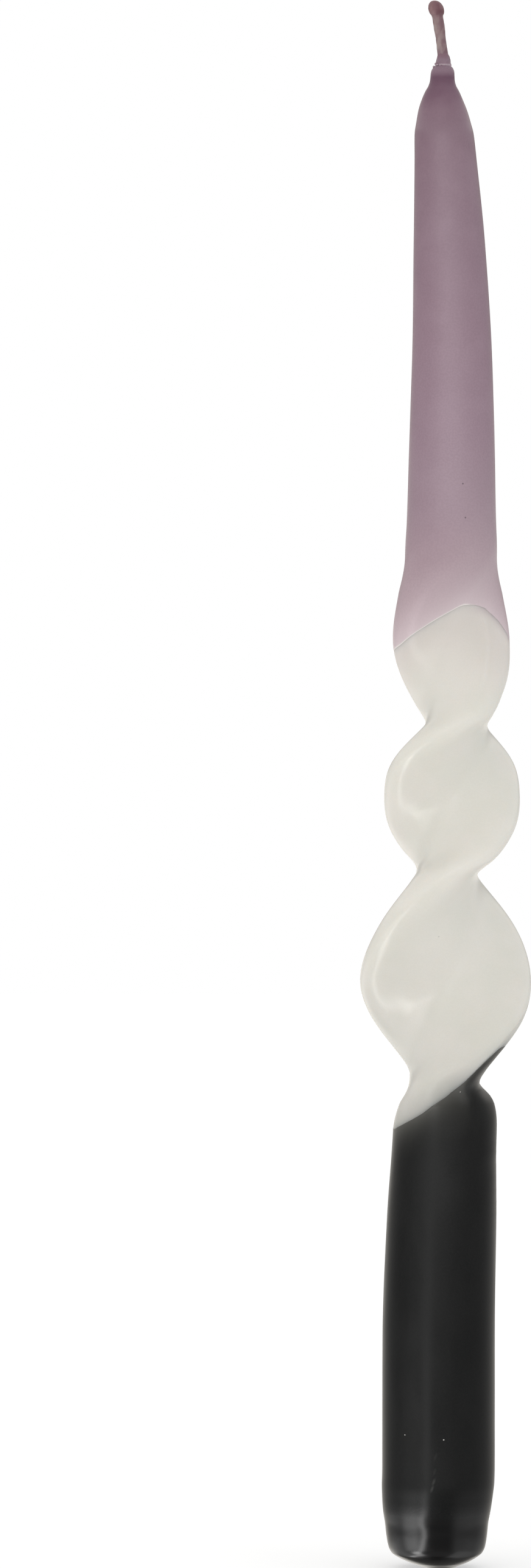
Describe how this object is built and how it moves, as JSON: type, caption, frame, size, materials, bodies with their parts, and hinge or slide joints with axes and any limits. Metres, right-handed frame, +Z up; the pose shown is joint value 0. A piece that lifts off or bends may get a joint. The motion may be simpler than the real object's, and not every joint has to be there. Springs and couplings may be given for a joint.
{
  "type": "dinner candle",
  "caption": "Hand-dipped taper candle with a flattened, twisted white middle, a lilac dipped top, a black dipped lower end and a waxed wick.",
  "frame": {"origin": "middle of the small flat under the foot, on the shaft's axis", "axes": "+Z up along the candle, from the foot to the wick; +X to the right and -Y towards the viewer of the picture"},
  "size_m": [0.0333, 0.0316, 0.3062],
  "materials": {
    "white_wax": "satin off-white wax",
    "lilac_wax": "satin lilac-grey wax, deeper towards the tip",
    "black_wax": "satin black wax",
    "glossy_black_wax": "glossy black wax",
    "cotton_wick": "braided cotton",
    "waxed_cotton": "wax-soaked wick, mauve"
  },
  "bodies": {
    "root": {"white_taper_core": "white_wax", "lilac_dip_coat": "lilac_wax", "black_dip_coat": "black_wax", "foot_dip_cap": "glossy_black_wax", "wick": "cotton_wick", "wick_collar": "lilac_wax", "wick_wax_sheath": "waxed_cotton", "wick_tip_bead": "waxed_cotton"}
  },
  "joints": []
}
